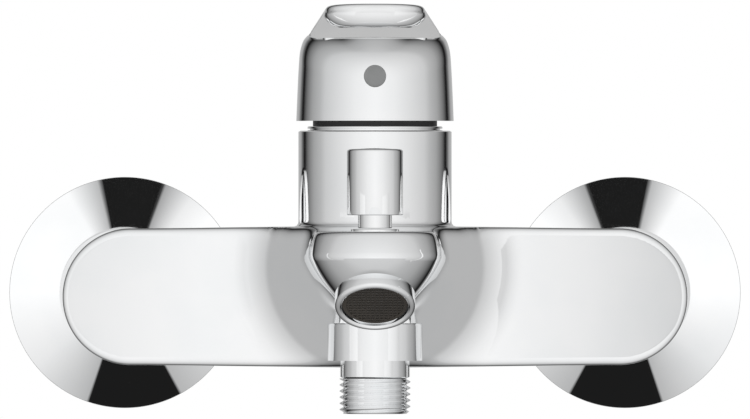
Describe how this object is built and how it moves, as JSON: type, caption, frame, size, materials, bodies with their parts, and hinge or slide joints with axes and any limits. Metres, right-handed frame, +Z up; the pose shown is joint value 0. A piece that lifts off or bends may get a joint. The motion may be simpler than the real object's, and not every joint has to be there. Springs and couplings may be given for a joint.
{
  "type": "bath mixer",
  "caption": "Wall-mounted single-lever bath mixer with eccentric wall unions, a lift-and-turn lever, a pull-up diverter, a spout with aerator and a threaded shower outlet below.",
  "frame": {"origin": "on the wall's surface, midway between the two inlet axes", "axes": "+X to the right as seen by the user, along the line of the two inlets; +Y into the wall; +Z up"},
  "size_m": [0.2194, 0.183, 0.1207],
  "materials": {
    "chrome": "polished",
    "rough_brass": "satin",
    "steel": "satin",
    "black_rubber": "matte",
    "black_plastic": "satin",
    "white_plastic": "satin",
    "white_ceramic": "polished",
    "grey_plastic": "satin"
  },
  "bodies": {
    "mixer": {"body": "chrome", "rosette_left": "chrome", "rosette_right": "chrome", "union_left": "rough_brass", "union_right": "rough_brass", "union_nut_left": "chrome", "union_nut_right": "chrome", "inlet_washer_left": "black_rubber", "inlet_washer_right": "black_rubber", "retaining_ring_left": "steel", "retaining_ring_right": "steel", "check_housing_left": "white_plastic", "check_housing_right": "white_plastic", "check_spring_left": "steel", "check_spring_right": "steel", "cartridge_base": "white_plastic", "cartridge_seals": "black_rubber", "fixed_ceramic_disc": "white_ceramic", "cartridge_housing": "white_plastic", "cartridge_nut": "rough_brass", "cover_ring": "chrome", "limiter_ring": "black_plastic", "diverter_gland": "chrome", "diverter_oring": "black_rubber", "diverter_spring": "steel", "shower_nipple": "chrome", "outlet_check_housing": "white_plastic", "outlet_check_spring": "steel", "aerator_housing": "chrome", "aerator_insert": "black_plastic", "aerator_seal": "black_rubber"},
    "turret": {"cartridge_turret": "white_plastic", "pivot_pin": "steel"},
    "lever": {"lever": "chrome", "lever_spindle": "rough_brass", "lever_grub_screw": "steel", "indicator_plug": "grey_plastic"},
    "disc": {"moving_ceramic_disc": "white_ceramic", "disc_driver": "white_plastic"},
    "diverter": {"diverter_knob": "chrome", "diverter_stem": "rough_brass", "diverter_valve": "black_rubber"},
    "poppet_left": {"check_poppet_left": "black_plastic"},
    "poppet_right": {"check_poppet_right": "black_plastic"},
    "poppet_outlet": {"outlet_check_poppet": "black_plastic"}
  },
  "joints": [
    {"name": "lever_turn", "type": "hinge", "parent": "mixer", "child": "turret", "pos_m": [0, -0.057, 0.043], "axis": [0, 0, 1], "range_deg": [-50, 50]},
    {"name": "lever_lift", "type": "hinge", "parent": "turret", "child": "lever", "pos_m": [0, -0.057, 0.043], "axis": [-1, 0, 0], "range_deg": [0, 25]},
    {"name": "disc_slide", "type": "slide", "parent": "turret", "child": "disc", "axis": [0, -1, 0], "range_m": [0, 0.0049]},
    {"name": "diverter_pull", "type": "slide", "parent": "mixer", "child": "diverter", "axis": [0, 0, 1], "range_m": [0, 0.0068], "stiffness_N_per_m": 200, "springref_m": -0.0035, "deforming": ["diverter_spring"]},
    {"name": "check_slide_left", "type": "slide", "parent": "mixer", "child": "poppet_left", "axis": [0, -1, 0], "range_m": [0, 0.0025], "stiffness_N_per_m": 100, "springref_m": -0.003, "deforming": ["check_spring_left"]},
    {"name": "check_slide_right", "type": "slide", "parent": "mixer", "child": "poppet_right", "axis": [0, -1, 0], "range_m": [0, 0.0025], "stiffness_N_per_m": 100, "springref_m": -0.003, "deforming": ["check_spring_right"]},
    {"name": "check_slide_outlet", "type": "slide", "parent": "mixer", "child": "poppet_outlet", "axis": [0, 0, -1], "range_m": [0, 0.0025], "stiffness_N_per_m": 100, "springref_m": -0.003, "deforming": ["outlet_check_spring"]}
  ],
  "couplings": [
    {"joint": "disc_slide", "follows": "lever_lift", "m_per_rad": 0.011}
  ]
}
